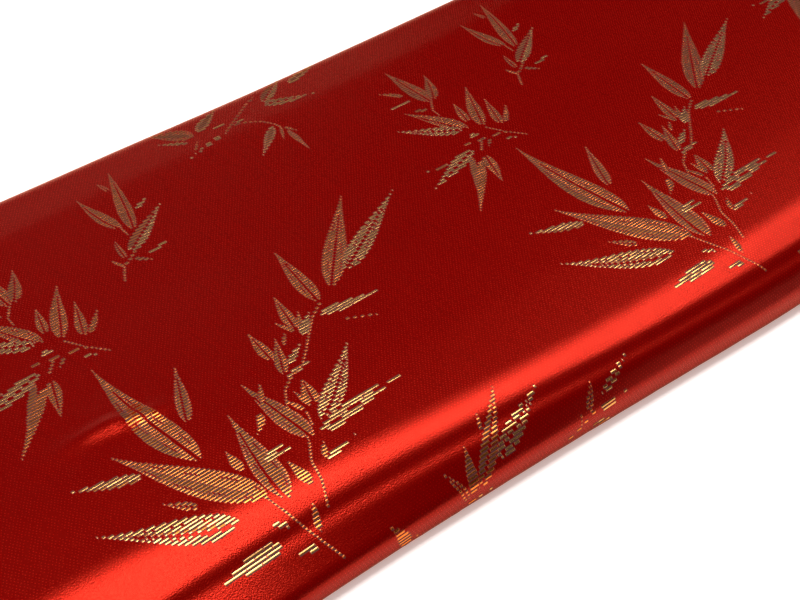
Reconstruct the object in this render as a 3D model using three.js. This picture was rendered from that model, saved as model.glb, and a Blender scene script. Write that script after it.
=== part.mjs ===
import * as THREE from "three";

// A cut length of satin brocade, wound flat on itself into five loose layers.
// Millimetres, Z up. X runs along the folds, which is the weft of the cloth.
// Y runs from the near fold to the far fold, which is the warp.
// The origin lies on the floor, under the middle of the stack.

const CLOTH_WIDTH = 732; // from selvedge to selvedge, along X
const CUT_LENGTH = 905; // of the cloth laid flat, round all the layers
const FOLD_DEPTH = 201; // from the near fold to the far fold, along Y
const STACK_HEIGHT = 20; // from the floor to the top layer
const SHEET = 1.2; // thickness of the modelled sheet
const LAYERS = 5;
const DRIFT = 3; // how far the layers creep along X from the outer to the inner cut end

const NEAR = -FOLD_DEPTH / 2 + SHEET / 2;
const FAR = FOLD_DEPTH / 2 - SHEET / 2;
const FLOOR_LEVEL = SHEET / 2;
const TOP_LEVEL = STACK_HEIGHT - SHEET / 2;
const PITCH = (TOP_LEVEL - FLOOR_LEVEL) / (LAYERS - 1);

// Height of the middle of layer number n, counted from the floor.
function level(n) {
  return FLOOR_LEVEL + n * PITCH;
}

// The middle line of the sheet, seen along X, from the outer cut end to the core.
// Each row is a corner that an arc of the given radius rounds off in so many steps.
// The side says which push of a station moves the corner.
const RUN = [
  { place: "outer cut end", y: FAR - 6, z: level(0), radius: 0, steps: 0, side: "far" },
  { place: "foot of near fold", y: NEAR + 0.4, z: level(0), radius: 1.6, steps: 3, side: "foot" },
  { place: "belly of near fold", y: NEAR, z: 7.6, radius: 3.4, steps: 3, side: "foot" },
  { place: "outside of ridge", y: NEAR + 6.6, z: 13.85, radius: 4, steps: 3, side: "ridge" },
  { place: "inside of ridge", y: NEAR + 10, z: 15.2, radius: 3, steps: 2, side: "ridge" },
  { place: "foot of brow", y: NEAR + 12.6, z: 17.1, radius: 6, steps: 2, side: "ridge" },
  { place: "brow", y: NEAR + 21, z: 19.2, radius: 30, steps: 4, side: "brow" },
  { place: "front of top", y: NEAR + 50, z: TOP_LEVEL, radius: 60, steps: 2, side: "brow" },
  { place: "middle of top", y: 20, z: TOP_LEVEL - 0.8, radius: 300, steps: 2, side: "none" },
  { place: "far shoulder", y: FAR - 24, z: TOP_LEVEL, radius: 60, steps: 3, side: "far" },
  { place: "far cheek", y: FAR + 0.6, z: TOP_LEVEL - 1.6, radius: 6.4, steps: 6, side: "far" },
  { place: "far chin", y: FAR - 1, z: level(1), radius: 4, steps: 6, side: "far" },
  { place: "middle of second layer", y: 10, z: level(1) - 0.9, radius: 300, steps: 1, side: "none" },
  { place: "inner near foot", y: NEAR + 20, z: level(1), radius: 4.5, steps: 5, side: "foot" },
  { place: "inner near brow", y: NEAR + 20.5, z: level(3), radius: 4.5, steps: 5, side: "foot" },
  { place: "middle of fourth layer", y: -5, z: level(3) - 1.1, radius: 300, steps: 1, side: "none" },
  { place: "inner far shoulder", y: FAR - 10, z: level(3), radius: 2.2, steps: 5, side: "far" },
  { place: "inner far chin", y: FAR - 10.5, z: level(2), radius: 2.2, steps: 5, side: "far" },
];

// How the section changes along X: a row for each of the evenly spaced stations,
// from one selvedge to the other. foot, ridge, brow and far push those corners along Y,
// sink lowers the ridge, and a lift raises the stack at that fold.
const STATIONS = [
  { foot: -0.6, ridge: 4, sink: -1.2, brow: 10, far: -1.2, liftNear: -1.8, liftFar: -1.2 },
  { foot: -0.8, ridge: 4.8, sink: -1.6, brow: 12, far: -0.4, liftNear: -1.1, liftFar: -0.5 },
  { foot: 0, ridge: 5.6, sink: -2, brow: 13, far: 0.1, liftNear: -0.9, liftFar: -0.1 },
  { foot: 1.1, ridge: 6.6, sink: -2.2, brow: 14, far: 0.2, liftNear: -0.6, liftFar: -0.1 },
  { foot: 1.7, ridge: 4.6, sink: -0.6, brow: 3.9, far: 0.6, liftNear: -0.1, liftFar: -0.2 },
  { foot: 0.2, ridge: -0.5, sink: 0, brow: -2.8, far: 0, liftNear: 0, liftFar: -0.4 },
  { foot: -2.9, ridge: -6, sink: 0, brow: -6, far: -1, liftNear: -0.3, liftFar: -0.2 },
  { foot: -5.8, ridge: -8.9, sink: -0.5, brow: -7, far: -0.4, liftNear: -0.1, liftFar: -0.2 },
  { foot: -6.4, ridge: -8.8, sink: -0.6, brow: -5, far: 0.6, liftNear: -0.4, liftFar: -0.1 },
  { foot: -4.7, ridge: -7, sink: -0.3, brow: -3, far: 0.2, liftNear: -0.2, liftFar: -0.3 },
  { foot: -3.7, ridge: -5, sink: 0, brow: 0, far: -0.2, liftNear: -0.7, liftFar: -0.8 },
  { foot: -2.7, ridge: -3.5, sink: 0, brow: 3, far: -0.8, liftNear: -1, liftFar: -0.6 },
  { foot: -1.7, ridge: -2.5, sink: -0.3, brow: 5, far: -1.2, liftNear: -1.5, liftFar: -1.4 },
];

// The corners of the middle line at one station.
function cornersAt(station) {
  const pushes = { ...station, none: 0 };
  return RUN.map((row) => {
    const across = (row.y - NEAR) / (FAR - NEAR);
    const lift = station.liftNear + (station.liftFar - station.liftNear) * across;
    const share = (row.z - FLOOR_LEVEL) / (TOP_LEVEL - FLOOR_LEVEL);
    const sink = row.side === "ridge" ? station.sink : 0;
    return { ...row, y: row.y + pushes[row.side], z: row.z + lift * share + sink };
  });
}

// The points of one corner, rounded by an arc that touches both of its sides.
function roundedCorner(before, corner, after) {
  const here = new THREE.Vector2(corner.y, corner.z);
  const back = new THREE.Vector2(before.y, before.z).sub(here).normalize();
  const ahead = new THREE.Vector2(after.y, after.z).sub(here).normalize();
  const turn = Math.PI - back.angleTo(ahead);
  const reach = corner.radius * Math.tan(turn / 2);
  const middle = back.clone().add(ahead).normalize();
  const centre = here.clone().addScaledVector(middle, corner.radius / Math.cos(turn / 2));
  const start = here.clone().addScaledVector(back, reach);
  const sense = Math.sign(back.cross(ahead));
  return Array.from({ length: corner.steps + 1 }, (_, step) =>
    start.clone().rotateAround(centre, (-sense * turn * step) / corner.steps));
}

function lengthOf(points) {
  return points.slice(1).reduce((sum, point, i) => sum + point.distanceTo(points[i]), 0);
}

// The whole middle line, whose last straight takes up what is left of the cut length.
function middleLine(station) {
  const corners = cornersAt(station);
  const first = corners[0];
  const last = corners.at(-1);
  const core = { y: NEAR, z: last.z };
  const points = [new THREE.Vector2(first.y, first.z)];
  for (let i = 1; i < corners.length; i += 1) {
    const after = corners[i + 1] ?? core;
    points.push(...roundedCorner(corners[i - 1], corners[i], after));
  }
  const rest = CUT_LENGTH - lengthOf(points);
  const coreStart = points.at(-1);
  points.push(new THREE.Vector2(coreStart.x - rest, coreStart.y));
  return points;
}

// Both faces of the sheet: the middle line moved sideways by half the thickness.
function facesOf(points) {
  const last = points.length - 1;
  return points.map((point, i) => {
    const arriving = points[Math.max(i, 1)].clone().sub(points[Math.max(i, 1) - 1]).normalize();
    const leaving = points[Math.min(i, last - 1) + 1].clone().sub(points[Math.min(i, last - 1)]).normalize();
    const along = arriving.clone().add(leaving).normalize();
    const side = new THREE.Vector2(-along.y, along.x);
    const miter = SHEET / 2 / along.dot(leaving);
    return [point.clone().addScaledVector(side, -miter), point.clone().addScaledVector(side, miter)];
  });
}

// One closed skin round the sheet, with a band of triangles for each side of the strip.
function clothGeometry() {
  const positions = [];
  const triangles = [];
  const sections = STATIONS.map((station) => facesOf(middleLine(station)));
  const count = sections[0].length;
  const corner = (s, i, face) => (s * count + i) * 2 + face;
  const quad = (a, b, c, d) => triangles.push(a, b, c, a, c, d);

  sections.forEach((section, s) => {
    const station = CLOTH_WIDTH * (s / (sections.length - 1) - 0.5);
    section.forEach((pair, i) => {
      const creep = DRIFT * (i / (count - 1) - 0.5);
      pair.forEach((point) => {
        const tidy = [station + creep, point.x, point.y].map((v) => Math.round(v * 1e4) / 1e4);
        positions.push(...tidy);
      });
    });
  });

  const lastStation = sections.length - 1;
  const lastPoint = count - 1;
  for (let i = 0; i < lastPoint; i += 1) {
    for (let s = 0; s < lastStation; s += 1) {
      quad(corner(s, i, 0), corner(s, i + 1, 0), corner(s + 1, i + 1, 0), corner(s + 1, i, 0));
      quad(corner(s, i, 1), corner(s + 1, i, 1), corner(s + 1, i + 1, 1), corner(s, i + 1, 1));
    }
    quad(corner(0, i, 0), corner(0, i, 1), corner(0, i + 1, 1), corner(0, i + 1, 0));
    quad(corner(lastStation, i, 0), corner(lastStation, i + 1, 0),
      corner(lastStation, i + 1, 1), corner(lastStation, i, 1));
  }
  for (let s = 0; s < lastStation; s += 1) {
    quad(corner(s, 0, 0), corner(s + 1, 0, 0), corner(s + 1, 0, 1), corner(s, 0, 1));
    quad(corner(s, lastPoint, 0), corner(s, lastPoint, 1),
      corner(s + 1, lastPoint, 1), corner(s + 1, lastPoint, 0));
  }

  const geometry = new THREE.BufferGeometry();
  geometry.setAttribute("position", new THREE.Float32BufferAttribute(positions, 3));
  geometry.setIndex(triangles);
  geometry.computeVertexNormals();
  return geometry;
}

const satin = new THREE.MeshStandardMaterial({ color: 0x8c0a08, roughness: 0.38, metalness: 0.1 });

const cloth = new THREE.Mesh(clothGeometry(), satin);
cloth.name = "brocade_cloth";
cloth.geometry.computeBoundingBox();
cloth.position.y = -(cloth.geometry.boundingBox.min.y + cloth.geometry.boundingBox.max.y) / 2;

const group = new THREE.Group();
group.add(cloth);

export default group;
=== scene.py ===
import math
from collections import namedtuple

import bpy
import numpy as np
from mathutils import Matrix, Vector


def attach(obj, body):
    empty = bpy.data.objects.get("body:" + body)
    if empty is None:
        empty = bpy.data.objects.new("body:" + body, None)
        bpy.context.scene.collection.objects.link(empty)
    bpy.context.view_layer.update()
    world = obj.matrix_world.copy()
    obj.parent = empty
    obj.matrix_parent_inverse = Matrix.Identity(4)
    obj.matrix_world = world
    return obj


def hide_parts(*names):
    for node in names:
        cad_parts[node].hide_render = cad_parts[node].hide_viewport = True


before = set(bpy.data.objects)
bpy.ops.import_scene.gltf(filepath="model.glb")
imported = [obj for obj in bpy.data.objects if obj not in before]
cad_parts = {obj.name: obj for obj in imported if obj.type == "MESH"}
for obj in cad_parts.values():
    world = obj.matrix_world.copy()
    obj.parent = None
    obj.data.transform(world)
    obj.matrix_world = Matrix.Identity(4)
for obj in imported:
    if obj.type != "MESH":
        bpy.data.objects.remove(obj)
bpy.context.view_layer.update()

# Camera. It looks down on the near fold from the left with a long lens, turned a
# degree about its own line of sight, as the picture was taken.
CAMERA_AZIMUTH = math.radians(-45.2)
CAMERA_ELEVATION = math.radians(35.54)
CAMERA_ROLL = math.radians(0.99)
CAMERA_DISTANCE = 0.5747
CAMERA_LENS = 85.5
LOOK_AT = Vector((-0.045, -0.0308, 0.0194))

camera_data = bpy.data.cameras.new("camera")
camera_data.lens = CAMERA_LENS
camera_data.sensor_width = 36
camera_data.clip_start = 0.01
camera = bpy.data.objects.new("camera", camera_data)
bpy.context.scene.collection.objects.link(camera)
bpy.context.scene.camera = camera

towards_camera = Vector((
    math.sin(CAMERA_AZIMUTH) * math.cos(CAMERA_ELEVATION),
    -math.cos(CAMERA_AZIMUTH) * math.cos(CAMERA_ELEVATION),
    math.sin(CAMERA_ELEVATION),
))
level_right = (-towards_camera).cross(Vector((0, 0, 1))).normalized()
level_up = level_right.cross(-towards_camera)
right = level_right * math.cos(CAMERA_ROLL) + level_up * math.sin(CAMERA_ROLL)
up = level_up * math.cos(CAMERA_ROLL) - level_right * math.sin(CAMERA_ROLL)
turn = Matrix((right, up, towards_camera)).transposed().to_4x4()
camera.matrix_world = Matrix.Translation(LOOK_AT + towards_camera * CAMERA_DISTANCE) @ turn

# Cloth. One cut length of red satin brocade, selvedge to selvedge, wound flat on
# itself into five loose layers with soft folds. Millimetres; X runs along the weft and
# the section is drawn in Y and Z, from the outer cut end under the stack to the core.
MM = 0.001
CLOTH_WIDTH = 732
CUT_LENGTH = 905
FOLD_DEPTH = 201
STACK_HEIGHT = 20
SOLID_SHEET = 1.2
LAYERS = 5
DRIFT = 3
NEAR = -FOLD_DEPTH / 2 + SOLID_SHEET / 2
FAR = FOLD_DEPTH / 2 - SOLID_SHEET / 2
FLOOR_LEVEL = SOLID_SHEET / 2
TOP_LEVEL = STACK_HEIGHT - SOLID_SHEET / 2
PITCH = (TOP_LEVEL - FLOOR_LEVEL) / (LAYERS - 1)


def level(layer):
    return FLOOR_LEVEL + layer * PITCH


Corner = namedtuple("Corner", "place y z radius side")
RUN = [
    Corner("outer cut end", FAR - 6, level(0), 0, "far"),
    Corner("foot of near fold", NEAR + 0.4, level(0), 1.6, "foot"),
    Corner("belly of near fold", NEAR, 7.6, 3.4, "foot"),
    Corner("outside of ridge", NEAR + 6.6, 13.85, 4, "ridge"),
    Corner("inside of ridge", NEAR + 10, 15.2, 3, "ridge"),
    Corner("foot of brow", NEAR + 12.6, 17.1, 6, "ridge"),
    Corner("brow", NEAR + 21, 19.2, 30, "brow"),
    Corner("front of top", NEAR + 50, TOP_LEVEL, 60, "brow"),
    Corner("middle of top", 20, TOP_LEVEL - 0.8, 300, "none"),
    Corner("far shoulder", FAR - 24, TOP_LEVEL, 60, "far"),
    Corner("far cheek", FAR + 0.6, TOP_LEVEL - 1.6, 6.4, "far"),
    Corner("far chin", FAR - 1, level(1), 4, "far"),
    Corner("middle of second layer", 10, level(1) - 0.9, 300, "none"),
    Corner("inner near foot", NEAR + 20, level(1), 4.5, "foot"),
    Corner("inner near brow", NEAR + 20.5, level(3), 4.5, "foot"),
    Corner("middle of fourth layer", -5, level(3) - 1.1, 300, "none"),
    Corner("inner far shoulder", FAR - 10, level(3), 2.2, "far"),
    Corner("inner far chin", FAR - 10.5, level(2), 2.2, "far"),
]

Station = namedtuple("Station", "foot ridge sink brow far lift_near lift_far")
STATIONS = [
    Station(-0.6, 4.0, -1.2, 10, -1.2, -1.8, -1.2),
    Station(-0.8, 4.8, -1.6, 12, -0.4, -1.1, -0.5),
    Station(0, 5.6, -2.0, 13, 0.1, -0.9, -0.1),
    Station(1.1, 6.6, -2.2, 14, 0.2, -0.6, -0.1),
    Station(1.7, 4.6, -0.6, 3.9, 0.6, -0.1, -0.2),
    Station(0.2, -0.5, 0, -2.8, 0, 0, -0.4),
    Station(-2.9, -6.0, 0, -6, -1.0, -0.3, -0.2),
    Station(-5.8, -8.9, -0.5, -7, -0.4, -0.1, -0.2),
    Station(-6.4, -8.8, -0.6, -5, 0.6, -0.4, -0.1),
    Station(-4.7, -7, -0.3, -3, 0.2, -0.2, -0.3),
    Station(-3.7, -5, 0, 0, -0.2, -0.7, -0.8),
    Station(-2.7, -3.5, 0, 3, -0.8, -1, -0.6),
    Station(-1.7, -2.5, -0.3, 5, -1.2, -1.5, -1.4),
]

# The section is averaged over two millimetres of cloth, which softens where its arcs
# meet, and runs back to the exact cut ends over the last stretch at either end.
ROW_STEP = 6.0
ARC_STEP = math.radians(3)
SOFTENING = (-1, -0.5, 0, 0.5, 1)
END_STRETCH = 60


def station_at(x):
    """The row of the table for any x, with the rows blended by a smooth curve."""
    place = (x / CLOTH_WIDTH + 0.5) * (len(STATIONS) - 1)
    first = min(int(place), len(STATIONS) - 2)
    share = place - first
    rows = [STATIONS[min(max(first + k, 0), len(STATIONS) - 1)] for k in (-1, 0, 1, 2)]
    blended = []
    for a, b, c, d in zip(*rows):
        cubic = 2 * b + (c - a) * share + (2 * a - 5 * b + 4 * c - d) * share**2
        blended.append((cubic + (3 * b - a - 3 * c + d) * share**3) / 2)
    return Station(*blended)


def corners_at(station):
    pushes = station._asdict() | {"none": 0}
    corners = []
    for row in RUN:
        across = (row.y - NEAR) / (FAR - NEAR)
        lift = station.lift_near + (station.lift_far - station.lift_near) * across
        share = (row.z - FLOOR_LEVEL) / (TOP_LEVEL - FLOOR_LEVEL)
        sink = station.sink if row.side == "ridge" else 0
        corners.append((Vector((row.y + pushes[row.side], row.z + lift * share + sink)), row.radius))
    return corners


def rounded(before, here, after, radius):
    """The points of one corner, rounded by an arc that touches both of its sides."""
    back = (before - here).normalized()
    ahead = (after - here).normalized()
    bend = math.pi - back.angle(ahead)
    start = here + back * radius * math.tan(bend / 2)
    centre = here + (back + ahead).normalized() * radius / math.cos(bend / 2)
    sense = math.copysign(1, back.x * ahead.y - back.y * ahead.x)
    steps = max(2, math.ceil(bend / ARC_STEP))
    spoke = start - centre
    return [centre + Matrix.Rotation(-sense * bend * k / steps, 2) @ spoke for k in range(steps + 1)]


def middle_line(station):
    corners = corners_at(station)
    core = Vector((NEAR, corners[-1][0].y))
    points = [corners[0][0]]
    for k in range(1, len(corners)):
        after = corners[k + 1][0] if k + 1 < len(corners) else core
        points += rounded(corners[k - 1][0], corners[k][0], after, corners[k][1])
    line = np.array([tuple(p) for p in points])
    length = np.linalg.norm(np.diff(line, axis=0), axis=1).sum()
    core_end = line[-1] - [CUT_LENGTH - length, 0]
    return np.vstack([line, core_end])


# Along the warp the sheet is measured from the line where the top passes over y = 0.
Stretch = namedtuple("Stretch", "start end step")
STRETCHES = [
    Stretch(-288, -140, 9),
    Stretch(-140, -60, 1),
    Stretch(-60, 78, 1.5),
    Stretch(78, 125, 1.2),
    Stretch(125, 272, 10),
    Stretch(272, 314, 1.5),
    Stretch(314, 440, 10),
    Stretch(440, 478, 1.5),
    Stretch(478, 594, 10),
]
warp_marks = []
for stretch in STRETCHES:
    count = max(1, round((stretch.end - stretch.start) / stretch.step))
    warp_marks += list(np.linspace(stretch.start, stretch.end, count, endpoint=False))
warp_marks.append(STRETCHES[-1].end)
warp_marks = np.array(warp_marks)
weft_marks = np.linspace(-CLOTH_WIDTH / 2, CLOTH_WIDTH / 2, round(CLOTH_WIDTH / ROW_STEP) + 1)


def points_along(line, length, marks):
    """Points of a line at the given lengths from its start."""
    return np.column_stack([np.interp(marks, length, line[:, i]) for i in (0, 1)])


def section_at(x):
    """The middle line at x, as a point for each warp mark."""
    line = middle_line(station_at(x))
    length = np.concatenate([[0], np.cumsum(np.linalg.norm(np.diff(line, axis=0), axis=1))])
    in_top_layer = line[:-1, 1] > level(LAYERS - 1.5)
    k = np.flatnonzero(in_top_layer & (line[:-1, 0] < 0) & (line[1:, 0] >= 0))[0]
    share = -line[k][0] / (line[k + 1][0] - line[k][0])
    zero = length[k] + share * (length[k + 1] - length[k])
    marks = warp_marks + zero
    section = sum(points_along(line, length, marks + shift) for shift in SOFTENING) / len(SOFTENING)
    ends = points_along(line, length, [0, CUT_LENGTH])
    lead = np.clip((warp_marks - warp_marks[0]) / END_STRETCH, 0, 1)[:, None]
    tail = np.clip((warp_marks[-1] - warp_marks) / END_STRETCH, 0, 1)[:, None]
    return section + (ends[0] - section[0]) * (1 - lead) + (ends[1] - section[-1]) * (1 - tail)


sheet_grid = np.array([section_at(x) for x in weft_marks])


def outward(grid):
    """Unit normals of the outer face, square to the section."""
    along = np.gradient(grid, warp_marks, axis=1)
    along /= np.linalg.norm(along, axis=2, keepdims=True)
    return np.stack([-along[:, :, 1], along[:, :, 0]], axis=2)


# Creases that folding left in the cloth on show, each a soft ridge along a short line,
# and two sets of long shallow waves. They fade out before the hidden layers.
Crease = namedtuple("Crease", "x0 s0 x1 s1 height half_width")
CREASES = [
    Crease(-134, -25, -145, -20.5, 1.0, 2.6),
    Crease(-145, -20.5, -153, -20, 0.55, 2.8),
    Crease(-153, -20, -168, -22, 0.2, 3.4),
    Crease(-147, -20, -141, -9, 0.5, 1.9),
]
Wave = namedtuple("Wave", "height x_length s_length start")
WAVES = [
    Wave(0.12, 31, 47, 0),
    Wave(0.1, 17, -29, 1.3),
]
SHOWN_FROM = -125
SHOWN_TO = 110
FADE_NEAR = 25
FADE_FAR = 20


def ripple(x, s):
    """How far the sheet stands out at x and s, in millimetres."""
    out = sum(w.height * np.sin(x / w.x_length + s / w.s_length + w.start) for w in WAVES)
    for c in CREASES:
        run = np.array([c.x1 - c.x0, c.s1 - c.s0])
        share = np.clip(((x - c.x0) * run[0] + (s - c.s0) * run[1]) / (run @ run), 0, 1)
        gap = (x - c.x0 - share * run[0]) ** 2 + (s - c.s0 - share * run[1]) ** 2
        out = out + c.height * np.exp(-gap / c.half_width**2)
    return out


fade_in = np.clip((warp_marks - SHOWN_FROM) / FADE_NEAR, 0, 1)
fade_out = np.clip((SHOWN_TO - warp_marks) / FADE_FAR, 0, 1)
stands_out = ripple(weft_marks[:, None], warp_marks[None, :]) * (fade_in * fade_out)
sheet_grid = sheet_grid + outward(sheet_grid) * stands_out[:, :, None]
sheet_normals = outward(sheet_grid)
CENTRE_Y = -(sheet_grid[:, :, 0].min() + sheet_grid[:, :, 0].max()) / 2

# The thin sheet lies near the outer face of the solid one, and its own outer face is
# this far outside the middle line.
SHEET = 0.5
OUTER_FACE = 0.45


def creep(s):
    """The layers drift along X from the outer to the inner cut end."""
    return DRIFT * ((s - warp_marks[0]) / CUT_LENGTH - 0.5)


def set_uv(mesh, name, points):
    """A UV map that gives each vertex its point in all the faces round it."""
    corners = np.zeros(len(mesh.loops), int)
    mesh.loops.foreach_get("vertex_index", corners)
    layer = mesh.uv_layers.new(name=name)
    layer.data.foreach_set("uv", points[corners].ravel())


def quads_of(index):
    """The faces between the rows and columns of a grid of vertex numbers."""
    here = index[..., :-1, :]
    below = index[..., 1:, :]
    corners = [here[..., :-1], below[..., :-1], below[..., 1:], here[..., 1:]]
    return np.stack(corners, axis=-1).reshape(-1, 4)


def cloth_mesh():
    """The outer and the inner face of the sheet, closed along all four edges."""
    x = weft_marks[:, None] + creep(warp_marks)[None, :]
    verts = []
    for offset in (OUTER_FACE, OUTER_FACE - SHEET):
        face = sheet_grid + sheet_normals * offset
        y = face[:, :, 0] + CENTRE_Y
        verts.append(np.stack([x, y, face[:, :, 1]], axis=2).reshape(-1, 3))
    index = np.arange(x.size).reshape(x.shape)
    outer = quads_of(index)
    inner = outer[:, ::-1] + x.size
    border = np.concatenate([index[:, 0], index[-1, 1:], index[-2::-1, -1], index[0, -2::-1]])
    behind = border + x.size
    edges = np.column_stack([border[:-1], behind[:-1], behind[1:], border[1:]])
    faces = np.vstack([outer, inner, edges])
    mesh = bpy.data.meshes.new("brocade_cloth_sheet")
    mesh.from_pydata((np.vstack(verts) * MM).tolist(), [], faces.tolist())
    number = np.arange(len(faces))
    mesh.polygons.foreach_set("material_index", (number >= len(outer)).astype(int))
    mesh.polygons.foreach_set("use_smooth", number < 2 * len(outer))
    uv = np.stack(np.meshgrid(weft_marks, warp_marks, indexing="ij"), axis=2).reshape(-1, 2)
    set_uv(mesh, "weave_mm", np.vstack([uv, uv]))
    mesh.validate()
    return mesh


cloth = bpy.data.objects.new("brocade_cloth_sheet", cloth_mesh())
bpy.context.scene.collection.objects.link(cloth)


def add_node(tree, kind, inputs=None, **settings):
    """One node, with its settings and the values or links of its inputs."""
    node = tree.nodes.new(kind)
    for name, value in settings.items():
        setattr(node, name, value)
    for name, value in (inputs or {}).items():
        if isinstance(value, bpy.types.NodeSocket):
            tree.links.new(value, node.inputs[name])
        else:
            node.inputs[name].default_value = value
    return node


def group_tree(name, inputs, outputs):
    """An empty shader node group. Each input is a name, a socket type and a value."""
    tree = bpy.data.node_groups.new(name, "ShaderNodeTree")
    for label, kind, value in inputs:
        socket = tree.interface.new_socket(label, in_out="INPUT", socket_type=kind)
        if value is not None:
            socket.default_value = value
    for label, kind in outputs:
        tree.interface.new_socket(label, in_out="OUTPUT", socket_type=kind)
    return tree, tree.nodes.new("NodeGroupInput"), tree.nodes.new("NodeGroupOutput")


def maths(tree, operation, a, b=0.0, c=0.0):
    return add_node(tree, "ShaderNodeMath", {0: a, 1: b, 2: c}, operation=operation).outputs[0]


def remap(tree, value, low, high, start=0.0, end=1.0, **settings):
    """The value, stretched so that start becomes low and end becomes high."""
    inputs = {"Value": value, "From Min": start, "From Max": end, "To Min": low, "To Max": high}
    return add_node(tree, "ShaderNodeMapRange", inputs, **settings).outputs[0]


# The places of a Mix node's two inputs and its output, for each kind of value.
MIX_SOCKETS = {"RGBA": (6, 7, 2), "VECTOR": (4, 5, 1)}


def mix(tree, kind, factor, first, second):
    """The first value, turning into the second as the factor rises."""
    a, b, result = MIX_SOCKETS[kind]
    inputs = {"Factor": factor, a: first, b: second}
    return add_node(tree, "ShaderNodeMix", inputs, data_type=kind).outputs[result]


def scaled(tree, colour, strength):
    inputs = {0: colour, "Scale": strength}
    return add_node(tree, "ShaderNodeVectorMath", inputs, operation="SCALE").outputs[0]


POINT_CORE = 0.1
POINT_SCATTER = 0.3
WEAKEST_POINT = 0.1


def binding_points():
    """The small floats where the weft passes over the warp, in slanting rows as in satin."""
    tree, source, result = group_tree(
        "binding_points",
        [
            ("Cloth mm", "NodeSocketVector", None),
            ("Weft Spacing", "NodeSocketFloat", 1.2),
            ("Warp Spacing", "NodeSocketFloat", 0.8),
            ("Step", "NodeSocketFloat", 0.4),
            ("Size", "NodeSocketFloat", 0.22),
        ],
        [("Points", "NodeSocketFloat")],
    )
    axes = add_node(tree, "ShaderNodeSeparateXYZ", {0: source.outputs["Cloth mm"]})
    row = maths(tree, "DIVIDE", axes.outputs[1], source.outputs["Warp Spacing"])
    whole_row = maths(tree, "FLOOR", row)
    place = maths(tree, "DIVIDE", axes.outputs[0], source.outputs["Weft Spacing"])
    shifted = maths(tree, "ADD", place, maths(tree, "MULTIPLY", whole_row, source.outputs["Step"]))
    cell = add_node(tree, "ShaderNodeCombineXYZ", {0: maths(tree, "FLOOR", shifted), 1: whole_row})
    chance = add_node(
        tree, "ShaderNodeTexWhiteNoise", {"Vector": cell.outputs[0]}, noise_dimensions="2D"
    ).outputs["Value"]
    scattered = maths(tree, "MULTIPLY", maths(tree, "SUBTRACT", chance, 0.5), POINT_SCATTER)
    along = maths(tree, "ADD", maths(tree, "SUBTRACT", maths(tree, "FRACT", shifted), 0.5), scattered)
    along = maths(tree, "MULTIPLY", along, source.outputs["Weft Spacing"])
    across = maths(tree, "SUBTRACT", maths(tree, "FRACT", row), 0.5)
    across = maths(tree, "MULTIPLY", across, source.outputs["Warp Spacing"])
    along_square = maths(tree, "MULTIPLY", along, along)
    across_square = maths(tree, "MULTIPLY", across, across)
    distance = maths(tree, "SQRT", maths(tree, "ADD", along_square, across_square))
    size = source.outputs["Size"]
    points = remap(tree, distance, 0.0, 1.0, size, POINT_CORE, interpolation_type="SMOOTHSTEP")
    weight = maths(tree, "MULTIPLY", chance, 1 - WEAKEST_POINT)
    weight = maths(tree, "ADD", weight, WEAKEST_POINT)
    tree.links.new(maths(tree, "MULTIPLY", points, weight), result.inputs["Points"])
    return tree


def yarn_streaks():
    """Slight differences from yarn to yarn, drawn out along the yarn."""
    tree, source, result = group_tree(
        "yarn_streaks",
        [
            ("Cloth mm", "NodeSocketVector", None),
            ("Across X", "NodeSocketFloat", 3.0),
            ("Across Y", "NodeSocketFloat", 0.05),
        ],
        [("Streaks", "NodeSocketFloat")],
    )
    scale = {0: source.outputs["Across X"], 1: source.outputs["Across Y"], 2: 1.0}
    scale = add_node(tree, "ShaderNodeCombineXYZ", scale).outputs[0]
    stretched = {0: source.outputs["Cloth mm"], 1: scale}
    stretched = add_node(tree, "ShaderNodeVectorMath", stretched, operation="MULTIPLY").outputs[0]
    noise = add_node(tree, "ShaderNodeTexNoise", {"Vector": stretched, "Scale": 1.0, "Detail": 2.0})
    tree.links.new(noise.outputs[0], result.inputs["Streaks"])
    return tree


BINDING_POINTS = binding_points()
YARN_STREAKS = yarn_streaks()


def new_material(name):
    material = bpy.data.materials.new(name)
    material.use_nodes = True
    return material, material.node_tree, material.node_tree.nodes["Principled BSDF"]


def uv_map(tree, name):
    return add_node(tree, "ShaderNodeUVMap", uv_map=name).outputs[0]


def effect(tree, group, cloth_mm, values=None):
    """The output of one of the weave's node groups, with its own values."""
    inputs = {"Cloth mm": cloth_mm} | (values or {})
    return add_node(tree, "ShaderNodeGroup", inputs, node_tree=group).outputs[0]


SATIN_RED = (0.32, 0.0008, 0.0006, 1)
SATIN_POINT_RED = (0.27, 0.001, 0.001, 1)
SATIN_GLINT = (1, 0.62, 0.26, 1)
SATIN_ROUGHNESS = (0.27, 0.34)
CRIMP_HEIGHT = 0.00011


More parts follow.
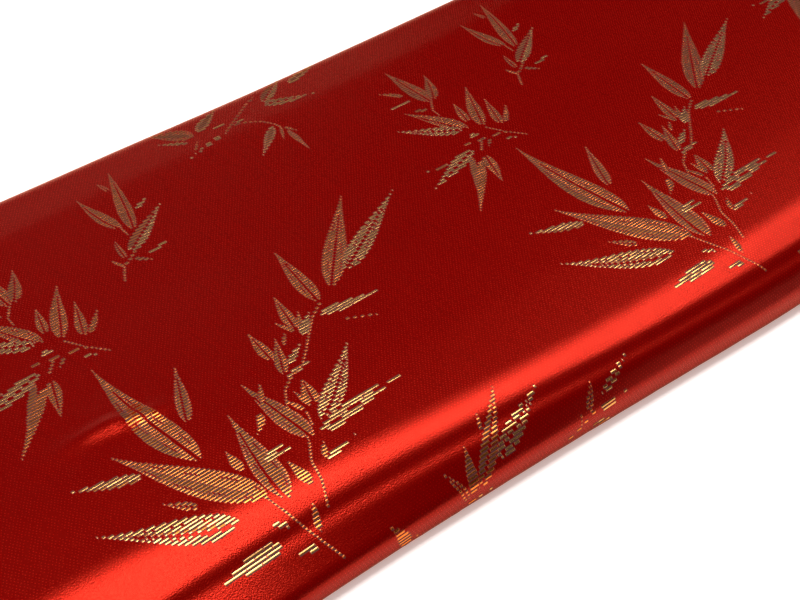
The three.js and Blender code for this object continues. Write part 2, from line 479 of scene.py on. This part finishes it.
def satin_face():
    """Long warp floats, which shine across their length, with small weft points between."""
    material, tree, shader = new_material("red_satin_face")
    cloth_mm = uv_map(tree, "weave_mm")
    uneven = effect(tree, YARN_STREAKS, cloth_mm, {"Across X": 0.7, "Across Y": 0.9})
    visible = remap(tree, uneven, 0.1, 0.75, 0.35, 0.7)
    points = maths(tree, "MULTIPLY", effect(tree, BINDING_POINTS, cloth_mm), visible)
    red = mix(tree, "RGBA", points, SATIN_RED, SATIN_POINT_RED)
    strength = remap(tree, effect(tree, YARN_STREAKS, cloth_mm), 0.9, 1.08, 0.3, 0.7)
    tree.links.new(scaled(tree, red, strength), shader.inputs["Base Color"])
    tree.links.new(remap(tree, points, *SATIN_ROUGHNESS), shader.inputs["Roughness"])
    shader.inputs["Metallic"].default_value = 0.6
    shader.inputs["Specular IOR Level"].default_value = 0.42
    shader.inputs["Specular Tint"].default_value = SATIN_GLINT
    shader.inputs["Anisotropic"].default_value = 0.96
    weftwise = add_node(tree, "ShaderNodeTangent", direction_type="UV_MAP", uv_map="weave_mm").outputs[0]
    facing = add_node(tree, "ShaderNodeNewGeometry").outputs["Normal"]
    warpwise = {0: facing, 1: weftwise}
    warpwise = add_node(tree, "ShaderNodeVectorMath", warpwise, operation="CROSS_PRODUCT").outputs[0]
    tree.links.new(mix(tree, "VECTOR", points, weftwise, warpwise), shader.inputs["Tangent"])
    crimp = effect(tree, YARN_STREAKS, cloth_mm, {"Across X": 3.4, "Across Y": 2.0})
    bump = add_node(tree, "ShaderNodeBump", {"Height": crimp, "Strength": 1.0, "Distance": CRIMP_HEIGHT})
    tree.links.new(bump.outputs[0], shader.inputs["Normal"])
    return material


REVERSE_RED = (0.2, 0.004, 0.003, 1)
REVERSE_GOLD = (0.4, 0.12, 0.03, 1)


def satin_reverse():
    """The dull side, where specks of the gold weft show among the red."""
    material, tree, shader = new_material("red_satin_reverse")
    points = effect(tree, BINDING_POINTS, uv_map(tree, "weave_mm"), {"Size": 0.4})
    tree.links.new(mix(tree, "RGBA", points, REVERSE_RED, REVERSE_GOLD), shader.inputs["Base Color"])
    shader.inputs["Roughness"].default_value = 0.6
    return material


cloth.data.materials.append(satin_face())
cloth.data.materials.append(satin_reverse())
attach(cloth, "root")
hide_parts("brocade_cloth")

# Gold figure. Bamboo sprays in a flat gilt weft that floats over the satin, tied down
# where a leaf ends and here and there between. A pick lies every 1.14 mm.
PICK_PITCH = 1.14
ACROSS_REPEAT = 180
WARP_REPEAT = 228
REPEAT_START = -118
FIGURE_STEP = 0.2
GROUND = 0
BRIGHT = 1
SHADED = 2
HATCHED = 3

figure_rows = round(WARP_REPEAT / PICK_PITCH)
figure_columns = round(ACROSS_REPEAT / FIGURE_STEP)
figure = np.zeros((figure_rows, figure_columns), int)

# A leaf runs from its base to its tip. The bow bends it, the rib is a dark line that far
# off its middle, and the shade is the part of its breadth in darker gold: partly a darker
# binding of the gold weft and partly painted shade on leaves whose gold lies unlit. A rib
# of 2 or -2 is left out, and so is a shade from 2 to 2.
Leaf = namedtuple("Leaf", "x0 s0 x1 s1 width bow rib shade0 shade1")
LEAVES = [
    # big spray, lower left
    Leaf(-136, -50, -132, 6, 11.5, 2, -0.1, 0.45, 1),
    Leaf(-128.5, -35.5, -113, -10, 4.5, 0, 0.1, -0.7, 0.7),
    Leaf(-132, -73, -154, -29, 12.5, 1.5, -2, 0.05, 0.62),
    Leaf(-143, -75, -176.5, -52.5, 10, 2, 0.3, -0.1, 0.1),
    Leaf(-151, -44, -171, -35, 4.5, 0.6, -2, 0.4, 1),
    Leaf(-148, -64, -155, -56, 3.5, 0, 0.1, -1, 0),
    Leaf(-107.5, -64, -106.5, -29.5, 8, 0, 0, -0.8, 0.8),
    Leaf(-100.5, -60, -68, -36, 7, -1, -0.1, 2, 2),
    Leaf(-105, -64, -64, -60, 5.5, 1, 0, 2, 2),
    Leaf(-128.5, -77, -117.5, -38, 9, 0, 0.3, -0.8, 0.8),
    Leaf(-124, -62, -113, -63, 3, 0, 2, 2, 2),
    Leaf(-122, -60, -112.5, -61, 1.8, 0, 2, 2, 2),
    Leaf(-130.5, -61, -128.5, -51, 3.5, 0, 2, 2, 2),
    Leaf(-120, -77, -119, -65, 4, 0, 2, 2, 2),
    Leaf(-127, -89, -123, -80, 3, 0, 2, 2, 2),
    Leaf(-130, -92, -137, -91, 2.5, 0, 2, 2, 2),
    Leaf(-138, -86, -160.5, -86.5, 5.5, 0, 0, 2, 2),
    Leaf(-133, -83, -138, -80, 2.5, 0, 2, 2, 2),
    Leaf(-110.5, -73, -97, -70.5, 2.5, 0, 2, 2, 2),
    Leaf(-110.5, -72, -105.5, -66, 2.5, 0, 2, 2, 2),
    Leaf(-111, -46, -118.5, -53, 3.2, 0.6, 2, 2, 2),
    Leaf(-107.5, -43, -101.5, -34.5, 2, 0, 2, 2, 2),
    Leaf(-97, -53, -91.5, -41, 5, 0, 0, 2, 2),
    Leaf(-98.5, -53, -97.5, -43.5, 2.5, 0, 2, 2, 2),
    Leaf(-101, -53.5, -102.5, -45, 2.5, 0, 2, 2, 2),
    Leaf(-94.5, -39, -81, -36.5, 2.5, 0, 2, 2, 2),
    # crown of the big spray
    Leaf(-62.5, -17, -53.5, 15.5, 6.5, 0, 0, 2, 2),
    Leaf(-54.5, -14, -13.5, 25, 8, 0, 0, 2, 2),
    Leaf(-46, -11, 0.5, 14, 7.5, 0, 0, 2, 2),
    Leaf(-67, -22.5, -43, -25.5, 4, 0, 2, 2, 2),
    Leaf(-77, -22.5, -70, -4, 4.5, 0, 0, 2, 2),
    Leaf(-78, -24, -80, -15, 2.5, 0, 2, 2, 2),
    Leaf(-76.5, -24.5, -69.5, -15.5, 2.5, 0, 2, 2, 2),
    Leaf(-77.5, -26.5, -67.5, -18.5, 3.5, 0, 2, 2, 2),
    Leaf(-92.5, -30, -88.5, -13, 4.5, 0, 0, 2, 2),
    Leaf(-94.5, -37.5, -83.5, -20.5, 4, 0, 0, 0, 1),
    Leaf(-90, -34.5, -79.5, -28.5, 3, 0, 2, 2, 2),
    Leaf(-85, -26.5, -80, -21.5, 1.6, 0, 2, 2, 2),
    # middle spray
    Leaf(48.4, 44.7, 50.5, 72.6, 7, 0, 0, 0.1, 1),
    Leaf(50.5, 45.5, 60.8, 61.5, 4.5, -0.6, 0, 0, 1),
    Leaf(43.7, 53.7, 36.9, 61.5, 3.2, -0.4, 2, 2, 2),
    Leaf(43, 50.1, 31.2, 50.5, 2.5, 0, 2, 2, 2),
    Leaf(43.9, 41.6, 37.6, 44.3, 2, 0, 2, -1, 1),
    Leaf(45, 23, 34.1, 46.9, 7, -0.5, 0.3, 2, 2),
    Leaf(44, 23.5, 23.2, 39.7, 6, 1.2, 0, 2, 2),
    Leaf(48.1, 26.1, 54, 40.2, 3.5, 0, 0, 2, 2),
    Leaf(50, 21, 66.9, 46.2, 5.5, 0.5, -0.2, 2, 2),
    Leaf(55.8, 17.6, 64.9, 35.1, 3.8, 0, 0, 2, 2),
    Leaf(57.6, 17.3, 68, 27.1, 2.6, -0.3, 2, 2, 2),
    Leaf(46, 18.7, 36, 18.8, 1.8, 0, 2, 2, 2),
    Leaf(36.1, 12.7, 6.2, 2.5, 5.5, 0, 0.1, 2, 2),
    Leaf(23, 10.9, 13.3, 12.7, 2.5, 0, 2, -1, 1),
    Leaf(32.2, 9.3, 15.9, -9.3, 3, 0, 2, -1, 1),
    Leaf(33.2, 5.7, 6.3, -19.4, 3.6, 0, 2, 2, 2),
    Leaf(36.1, 6.8, 27.3, -10.5, 4.5, 0, 0, 2, 2),
    Leaf(53.4, 8.1, 48, 9.8, 1.4, 0, 2, 2, 2),
    Leaf(45.4, 13.1, 40.8, 9.5, 1.4, 0, 2, -1, 1),
    # small spray
    Leaf(-79, 52, -62, 89.1, 5.4, 0, -0.2, 2, 2),
    Leaf(-81.5, 55.3, -82, 80, 5.5, 0.8, 0.3, 2, 2),
    Leaf(-70.9, 75, -71.1, 83.2, 2.3, 0, 0, 2, 2),
    Leaf(-71.3, 60.8, -62.8, 65, 2.1, 0, 2, 2, 2),
    Leaf(-87.5, 42.8, -60.9, 59.8, 5.5, 0, 0, 0.1, 1),
    Leaf(-85.9, 40, -71.4, 39.3, 3.2, 0, 0, 2, 2),
    Leaf(-88.9, 39.3, -83.9, 34, 2.2, 0.3, 2, -1, 1),
    Leaf(-90.6, 40.8, -86.6, 52.9, 3, 0.3, 0, 0, 1),
    Leaf(-93.5, 37.8, -95.3, 44.5, 1.9, 0, 2, 2, 2),
    # far spray, over the far fold
    Leaf(-18, 78, -42.5, 71.4, 2.2, -0.5, 0, 2, 2),
    Leaf(-34.4, 75.2, -28.1, 81.4, 1.2, 0, 2, 2, 2),
    Leaf(-32.2, 81.6, -41.9, 89.4, 2.6, 0.3, 2, 2, 2),
    Leaf(-27.5, 84.5, -41, 97, 8, 0, 2, -0.3, 0.5),
    Leaf(-25.1, 85.6, -8.7, 94.9, 4.5, 0, 2, -0.5, 0.5),
    Leaf(-14.5, 82.7, -23.8, 84.4, 1.8, 0, 2, 2, 2),
    Leaf(-11.4, 80.7, -5.4, 81.9, 1.5, 0, 2, 2, 2),
    Leaf(-2.3, 67.8, -8.2, 59.4, 1.6, 0, 2, 2, 2),
    Leaf(-4.1, 69.9, -20.5, 56.8, 3.6, 0, 2, -0.5, 0.5),
    Leaf(-2.1, 64.7, -4.9, 48.4, 3.2, 0, 2, 0.2, 1),
    Leaf(-1.5, 66.8, 0.9, 60.6, 1.8, 0, 2, 2, 2),
    Leaf(3.1, 84.8, 23.6, 77.1, 5, -0.8, 0.1, 2, 2),
    Leaf(5.1, 85.6, 24.1, 98, 5, 0, 0, 0, 1),
    Leaf(20.9, 90.3, 41.5, 96, 3.5, 0, 2, -0.3, 0.3),
    # near sprays, on the near fold
    Leaf(-78.2, -104.9, -51.5, -78.8, 5.4, 0, 0, 0, 1),
    Leaf(-68.5, -100.4, -41.5, -87.6, 6, 0, 0, 2, 2),
    Leaf(-80.5, -104.9, -75.3, -90.3, 4, 0, 2, 2, 2),
    Leaf(-81.8, -106.1, -87.5, -92.7, 3.4, 0, 0, 2, 2),
    Leaf(-78.5, -107.8, -68.6, -106.1, 2, 0, 0, 2, 2),
    Leaf(-68.2, -91, -65.1, -85.2, 1.8, 0, 2, 2, 2),
    Leaf(-104, -107.3, -110.5, -97.2, 4.3, 0, 2, 2, 2),
    Leaf(-101.6, -108.5, -101, -104.6, 2.2, 0, 2, 2, 2),
    Leaf(-33.3, -104.3, -27.1, -95.5, 3.4, 0, 0, 2, 2),
    Leaf(-26.6, -102.1, -8.5, -94.5, 3.4, 0, 0, 2, 2),
    Leaf(-31.2, -106.2, -11.2, -103.8, 2.8, 0, 0, 2, 2),
    Leaf(-32.3, -108.6, -20.6, -112.1, 2.4, 0, 2, -1, 0),
]
STEMS = [
    [(-126, -98), (-128.5, -91), (-131, -82), (-132.5, -74)],
    [(-109, -64), (-114.5, -71), (-117, -78), (-121, -85)],
    [
        (-62, -17.5), (-69.5, -22), (-77, -28.5), (-82, -33),
        (-87, -37), (-94.5, -40), (-99, -43), (-104.5, -50),
    ],
    [(-101, -54), (-104, -60)],
    [(-62.5, -29.5), (-54.5, -34)],
    [(48.4, 44.7), (44.5, 40), (43.8, 35.7)],
    [(36, 16.1), (51.7, 13.2), (53.5, 12.1), (56.9, 6.9)],
    [(50, 19.9), (52.6, 13.9)],
    [(42.9, 14.8), (37.3, 9.5)],
    [(-85, 43), (-89.5, 40), (-93.5, 38), (-98, 32)],
    [(-81.5, 54.5), (-82, 50.5)],
    [(-18, 78.3), (-8.5, 83.9), (0, 89), (5, 91)],
    [(-13, 80), (-11, 79.6), (-8.3, 78.1), (-4.9, 75), (-2.8, 70.9), (-2.3, 67.8)],
    [(-79, -107), (-84.5, -108), (-89.3, -109), (-96, -109), (-101, -107.5)],
    [(-42, -108.7), (-37, -107), (-33.5, -105.5), (-31, -105)],
    [(-37, -107), (-36.2, -103.7)],
]
STEM_WIDTH = 0.65


def figure_patch(low, high):
    """The rows and columns of the figure that a shape from low to high touches."""
    first_column = math.floor(low[0] / FIGURE_STEP)
    last_column = math.ceil(high[0] / FIGURE_STEP)
    first_row = math.floor((low[1] - REPEAT_START) / PICK_PITCH)
    last_row = math.ceil((high[1] - REPEAT_START) / PICK_PITCH)
    columns = np.arange(first_column, last_column + 1)
    rows = np.arange(first_row, last_row + 1)
    x = (columns + 0.5)[None, :] * FIGURE_STEP
    s = (rows + 0.5)[:, None] * PICK_PITCH + REPEAT_START
    return rows % figure_rows, columns % figure_columns, x, s


def paint(rows, columns, where, look):
    part = figure[np.ix_(rows, columns)]
    part[where] = look
    figure[np.ix_(rows, columns)] = part


# A leaf is widest at about a quarter of its length and runs out to a fine tip. Small
# leaves are slimmer, and big ones have a broken dark line along either side.
LEAF_SWELL = 4.6
BASE_POWER = 0.75
TIP_POWER = 1.9
SMALL_LEAF = 3.5
SMALL_FULLNESS = 0.8
BIG_LEAF = 6
SIDE_LINE = 0.16


def draw_leaf(leaf):
    base = np.array([leaf.x0, leaf.s0], float)
    tip = np.array([leaf.x1, leaf.s1], float)
    reach = np.full(2, leaf.width + abs(leaf.bow))
    rows, columns, x, s = figure_patch(np.minimum(base, tip) - reach, np.maximum(base, tip) + reach)
    length = np.linalg.norm(tip - base)
    along = (tip - base) / length
    t = ((x - base[0]) * along[0] + (s - base[1]) * along[1]) / length
    off = -(x - base[0]) * along[1] + (s - base[1]) * along[0]
    off = off - leaf.bow * 4 * t * (1 - t)
    inside = (t > 0) & (t < 1)
    t = np.clip(t, 0.001, 0.999)
    fullness = SMALL_FULLNESS if leaf.width < SMALL_LEAF else 1
    half = fullness * leaf.width / 2 * LEAF_SWELL * t**BASE_POWER * (1 - t) ** TIP_POWER
    q = off / np.maximum(half, 1e-3)
    body = inside & (np.abs(q) < 1)
    lies_level = abs(leaf.x1 - leaf.x0) > 1.2 * abs(leaf.s1 - leaf.s0)
    paint(rows, columns, body, HATCHED if lies_level else BRIGHT)
    # The shaded part is a darker copy of the gilt: partly a darker binding, partly painted shade.
    shade = body & (q > leaf.shade0) & (q < leaf.shade1) & (t > 0.08) & (t < 0.8)
    paint(rows, columns, shade, SHADED)
    if leaf.width >= BIG_LEAF:
        broken = np.sin(t * 31 + leaf.x0) > -0.1
        side = np.abs(np.abs(q + 0.1 * np.sin(t * 9)) - 0.55) * half < SIDE_LINE
        paint(rows, columns, body & side & broken & (t > 0.06) & (t < 0.7), GROUND)
    if abs(leaf.rib) < 1:
        gap = 0.35 + 0.08 * leaf.width * (1 - t)
        rib = body & (np.abs(off - leaf.rib * half) < gap / 2) & (t < 0.72)
        paint(rows, columns, rib, GROUND)


def draw_stem(points):
    for a, b in zip(points[:-1], points[1:]):
        a = np.array(a, float)
        b = np.array(b, float)
        rows, columns, x, s = figure_patch(np.minimum(a, b) - STEM_WIDTH, np.maximum(a, b) + STEM_WIDTH)
        run = b - a
        share = np.clip(((x - a[0]) * run[0] + (s - a[1]) * run[1]) / (run @ run), 0, 1)
        gap = np.hypot(x - a[0] - share * run[0], s - a[1] - share * run[1])
        paint(rows, columns, gap < STEM_WIDTH / 2, BRIGHT)


for leaf in LEAVES:
    draw_leaf(leaf)
for stem in STEMS:
    draw_stem(stem)

# Each run of the figure along a pick becomes one or more floats of the gilt yarn. Leaves
# that lie along the pick and the shaded parts of leaves have shorter floats.
Yarn = namedtuple("Yarn", "piece longest gap width height body tied roughness")
YARNS = {
    BRIGHT: Yarn(
        "gilt_leaf_floats", 14, 0.15, 0.58, 0.06, (0.86, 0.23, 0.04, 1), (0.62, 0.12, 0.04, 1), 0.24
    ),
    HATCHED: Yarn(
        "gilt_hatched_floats", 9, 0.12, 0.6, 0.06, (0.90, 0.44, 0.13, 1), (0.62, 0.20, 0.10, 1), 0.24
    ),
    # The darker gilt, partly a darker binding and partly painted shade for unlit gold.
    SHADED: Yarn(
        "gilt_shaded_floats", 5, 0.2, 0.56, 0.05, (0.44, 0.14, 0.02, 1), (0.38, 0.09, 0.03, 1), 0.32
    ),
}
GILT_GLINT = (0.95, 0.6, 0.3, 1)
PATTERN_EDGE = CLOTH_WIDTH / 2 - 8
REPEATS = range(-3, 3)
SHORTEST_FLOAT = 0.35
SHORTEST_SHARE = 0.55
LEAST_LEFT_OVER = 1
scatter = np.random.default_rng(11)


def runs_of(row):
    """Start, end and look of each run of gilt yarn along one row of the figure."""
    row = np.concatenate([row, row[:1]])
    change = np.flatnonzero(np.diff(row)) + 1
    edges = np.concatenate([[0], change, [len(row) - 1]])
    for a, b in zip(edges[:-1], edges[1:]):
        if row[a] != GROUND and b > a:
            yield a * FIGURE_STEP, b * FIGURE_STEP, row[a]


def all_floats(first_s, last_s):
    """Start, end, place along the warp, tone and breadth of every float, for each yarn."""
    floats = {look: [] for look in YARNS}
    first_turn = math.floor((first_s - REPEAT_START) / WARP_REPEAT)
    last_turn = math.floor((last_s - REPEAT_START) / WARP_REPEAT)
    for turn_number in range(first_turn, last_turn + 1):
        for row in range(figure_rows):
            s = REPEAT_START + turn_number * WARP_REPEAT + (row + 0.5) * PICK_PITCH
            if not first_s < s < last_s:
                continue
            for start, end, look in runs_of(figure[row]):
                yarn = YARNS[look]
                for repeat in REPEATS:
                    x0 = max(start + repeat * ACROSS_REPEAT, -PATTERN_EDGE)
                    x1 = min(end + repeat * ACROSS_REPEAT, PATTERN_EDGE)
                    while x1 - x0 > SHORTEST_FLOAT:
                        length = yarn.longest * scatter.uniform(SHORTEST_SHARE, 1)
                        stop = x1 if x1 - x0 < length + LEAST_LEFT_OVER else x0 + length
                        floats[look].append((x0, stop, s, scatter.uniform(), scatter.uniform()))
                        x0 = stop + yarn.gap
    return floats


def on_cloth(x, s, out):
    """Points on the outer face of the sheet, raised by out."""
    place = np.clip(np.searchsorted(warp_marks, s) - 1, 0, len(warp_marks) - 2)
    share_s = (s - warp_marks[place]) / (warp_marks[place + 1] - warp_marks[place])
    row = np.clip((x + CLOTH_WIDTH / 2) / (weft_marks[1] - weft_marks[0]), 0, len(weft_marks) - 1.001)
    first = row.astype(int)
    share_x = row - first

    def in_row(table, r):
        return table[r, place] * (1 - share_s)[:, None] + table[r, place + 1] * share_s[:, None]

    def between(table):
        return in_row(table, first) * (1 - share_x)[:, None] + in_row(table, first + 1) * share_x[:, None]

    point = between(sheet_grid) + between(sheet_normals) * (OUTER_FACE + out)[:, None]
    return np.column_stack([x + creep(s), point[:, 0] + CENTRE_Y, point[:, 1]])


# A float rises from the cloth within about a third of a millimetre and sinks again at
# its other end. Under it lies a bed of red warp, as wide as the pick, painted dark as
# the shade between the picks.
FLOAT_END = 0.35
LIFT = np.array([0, 1, 1, 0])
ACROSS_YARN = np.array([-0.5, -0.24, 0.24, 0.5])
YARN_PROFILE = np.array([0, 0.9, 0.9, 0])
BED_RISE = 0.015
BED_SIDES = np.array([-0.5, -0.5, 0.5, 0.5])
NARROWEST = 0.85
WIDTH_SPREAD = 0.3


def gilt_mesh(floats, yarn):
    x0, x1, middle, tone, spread = np.array(floats).T
    end = np.minimum(FLOAT_END, (x1 - x0) / 3)
    stops = np.column_stack([x0, x0 + end, x1 - end, x1])
    from_end = np.minimum(stops - x0[:, None], x1[:, None] - stops)
    widths = yarn.width * (NARROWEST + WIDTH_SPREAD * spread)
    shape = (len(floats), len(LIFT), len(ACROSS_YARN))
    x = np.broadcast_to(stops[:, :, None], shape).ravel()
    s = np.broadcast_to(middle[:, None, None] + ACROSS_YARN * widths[:, None, None], shape).ravel()
    out = np.broadcast_to(BED_RISE + LIFT[:, None] * YARN_PROFILE * yarn.height, shape).ravel()
    from_end = np.broadcast_to(from_end[:, :, None], shape).ravel()
    tone = np.broadcast_to(tone[:, None, None], shape).ravel()
    strips = quads_of(np.arange(x.size).reshape(shape))
    # The beds carry the painted shade that lies between the picks.
    bed_x = np.column_stack([x0, x1, x1, x0]).ravel()
    bed_s = (middle[:, None] + BED_SIDES * PICK_PITCH).ravel()
    beds = np.arange(bed_x.size).reshape(-1, 4) + x.size
    x = np.concatenate([x, bed_x])
    s = np.concatenate([s, bed_s])
    out = np.concatenate([out, np.full(bed_x.size, BED_RISE / 2)])
    faces = np.vstack([strips, beds])
    mesh = bpy.data.meshes.new(yarn.piece)
    mesh.from_pydata((on_cloth(x, s, out) * MM).tolist(), [], faces.tolist())
    number = np.arange(len(faces))
    mesh.polygons.foreach_set("use_smooth", np.ones(len(faces), bool))
    mesh.polygons.foreach_set("material_index", (number >= len(strips)).astype(int))
    set_uv(mesh, "weave_mm", np.column_stack([x, s]))
    of_beds = np.zeros((bed_x.size, 2))
    set_uv(mesh, "float_mm", np.vstack([np.column_stack([from_end, tone]), of_beds]))
    return mesh


def gilt_yarn(yarn):
    """Flat gilt strip wound on a core. Near its ends the red warp shows through."""
    material, tree, shader = new_material(yarn.piece)
    of_float = add_node(tree, "ShaderNodeSeparateXYZ", {0: uv_map(tree, "float_mm")})
    near_end = remap(tree, of_float.outputs[0], 1.0, 0.0, 0.1, 0.4)
    tint = mix(tree, "RGBA", near_end, yarn.body, yarn.tied)
    strength = remap(tree, of_float.outputs[1], 0.75, 1.1)
    tree.links.new(scaled(tree, tint, strength), shader.inputs["Base Color"])
    tree.links.new(remap(tree, near_end, 1.0, 0.5), shader.inputs["Metallic"])
    shader.inputs["Roughness"].default_value = yarn.roughness
    shader.inputs["Specular Tint"].default_value = GILT_GLINT
    return material


# The bed is the red warp painted nearly black, as painted shade between the picks.
painted_shade_bed_material, _, painted_shade_bed_shader = new_material("warp_bed_painted_shade")
painted_shade_bed_shader.inputs["Base Color"].default_value = (0.06, 0.001, 0.001, 1)
painted_shade_bed_shader.inputs["Roughness"].default_value = 0.7

FIGURE_FIRST = -128
FIGURE_LAST = 118
gilt_floats = all_floats(FIGURE_FIRST, FIGURE_LAST)
for look, yarn in YARNS.items():
    gilt = bpy.data.objects.new(yarn.piece, gilt_mesh(gilt_floats[look], yarn))
    bpy.context.scene.collection.objects.link(gilt)
    gilt.data.materials.append(gilt_yarn(yarn))
    gilt.data.materials.append(painted_shade_bed_material)
    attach(gilt, "root")
# Floor and light. A plain white table, which glows faintly so that the shadow under the
# near fold stays a light grey. A long soft light and a fainter ceiling hang overhead, a
# small window stands at the far left and a bright paper wall behind.
FLOOR_HALF = 3.0
floor_corners = [(FLOOR_HALF * x, FLOOR_HALF * y, 0) for x, y in ((-1, -1), (1, -1), (1, 1), (-1, 1))]
floor_mesh = bpy.data.meshes.new("floor")
floor_mesh.from_pydata(floor_corners, [], [(0, 1, 2, 3)])
floor = bpy.data.objects.new("floor", floor_mesh)
bpy.context.scene.collection.objects.link(floor)
table_material, _, table_shader = new_material("white_table")
table_shader.inputs["Base Color"].default_value = (0.72, 0.69, 0.68, 1)
table_shader.inputs["Emission Color"].default_value = (0.47, 0.38, 0.35, 1)
table_shader.inputs["Emission Strength"].default_value = 1.0
table_shader.inputs["Roughness"].default_value = 0.8
table_shader.inputs["Specular IOR Level"].default_value = 0.1
floor.data.materials.append(table_material)

SoftBox = namedtuple("SoftBox", "name place aim width depth power")
SOFT_BOXES = [
    SoftBox("overhead_light", (0.33, 0.15, 1.3), (0.33, 0.0, 0.0), 1.7, 0.36, 22),
    SoftBox("ceiling_glow", (0.10, -0.05, 1.32), (0.10, 0.0, 0.0), 1.5, 0.95, 4.2),
    SoftBox("window", (-0.96, 0.53, 1.15), (0.0, 0.0, 0.0), 0.25, 0.25, 12.5),
    SoftBox("paper_wall", (0.3, 1.6, 0.26), (0.3, 0.0, 0.26), 2.8, 0.5, 3.6),
]
for box in SOFT_BOXES:
    light = bpy.data.lights.new(box.name, "AREA")
    light.shape = "RECTANGLE"
    light.size = box.width
    light.size_y = box.depth
    light.energy = box.power
    lamp = bpy.data.objects.new(box.name, light)
    lamp.location = box.place
    lamp.rotation_euler = (Vector(box.aim) - Vector(box.place)).to_track_quat("-Z", "Y").to_euler()
    bpy.context.scene.collection.objects.link(lamp)

world = bpy.data.worlds.new("room")
world.use_nodes = True
world.node_tree.nodes["Background"].inputs["Color"].default_value = (1, 1, 1, 1)
world.node_tree.nodes["Background"].inputs["Strength"].default_value = 0.02
bpy.context.scene.world = world
bpy.context.scene.view_settings.view_transform = "Standard"
